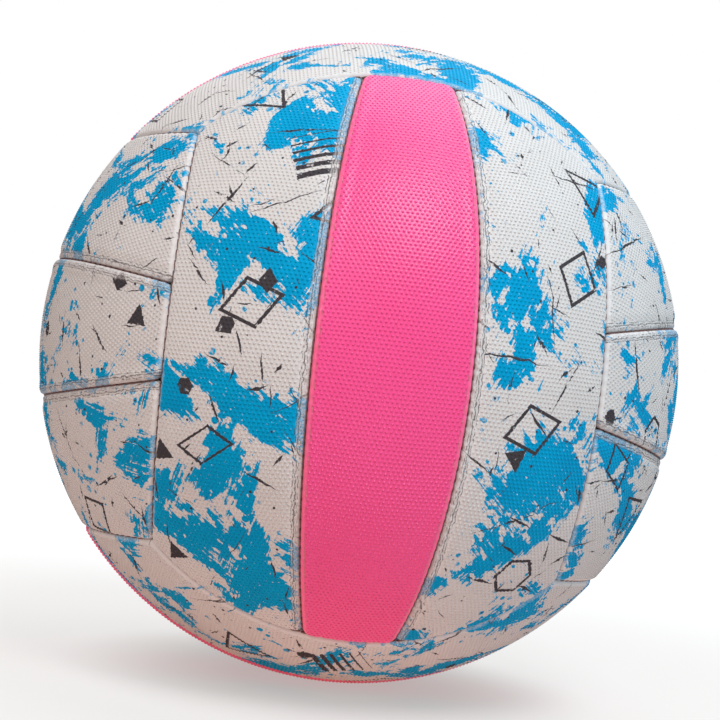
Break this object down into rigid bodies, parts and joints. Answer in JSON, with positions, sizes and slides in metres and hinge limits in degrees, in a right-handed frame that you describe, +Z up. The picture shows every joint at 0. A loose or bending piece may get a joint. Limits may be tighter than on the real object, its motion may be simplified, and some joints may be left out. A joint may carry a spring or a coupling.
{
  "type": "netball",
  "caption": "Inflated match ball of stitched striped panels with a pimpled rubber grip, plain pink and printed white, over a bladder with a needle valve.",
  "frame": {"origin": "centre of the ball", "axes": "+Z up along the plain front stripe, -Y towards the viewer, +Y out of the valve at the back"},
  "size_m": [0.2228, 0.2227, 0.2228],
  "materials": {
    "pink_grip": "pimpled, satin",
    "printed_grip": "pimpled, satin",
    "waxed_thread": "waxed",
    "bladder_rubber": "matt",
    "valve_rubber": "matt"
  },
  "bodies": {
    "root": {"front_left_panel": "printed_grip", "front_centre_panel": "pink_grip", "front_right_panel": "printed_grip", "back_left_panel": "printed_grip", "back_centre_panel": "pink_grip", "back_right_panel": "printed_grip", "left_upper_panel": "printed_grip", "left_centre_panel": "printed_grip", "left_lower_panel": "printed_grip", "right_upper_panel": "printed_grip", "right_centre_panel": "printed_grip", "right_lower_panel": "printed_grip", "top_front_panel": "printed_grip", "top_centre_panel": "pink_grip", "top_rear_panel": "printed_grip", "bottom_front_panel": "printed_grip", "bottom_centre_panel": "pink_grip", "bottom_rear_panel": "printed_grip", "front_stripe_thread": "waxed_thread", "front_left_seam_thread": "waxed_thread", "front_right_seam_thread": "waxed_thread", "back_stripe_thread": "waxed_thread", "back_left_seam_thread": "waxed_thread", "back_right_seam_thread": "waxed_thread", "left_stripe_thread": "waxed_thread", "left_top_seam_thread": "waxed_thread", "left_bottom_seam_thread": "waxed_thread", "right_stripe_thread": "waxed_thread", "right_top_seam_thread": "waxed_thread", "right_bottom_seam_thread": "waxed_thread", "top_stripe_thread": "waxed_thread", "top_front_seam_thread": "waxed_thread", "top_back_seam_thread": "waxed_thread", "bottom_stripe_thread": "waxed_thread", "bottom_front_seam_thread": "waxed_thread", "bottom_back_seam_thread": "waxed_thread", "bladder": "bladder_rubber", "valve_housing": "valve_rubber", "valve_core": "valve_rubber"}
  },
  "joints": []
}
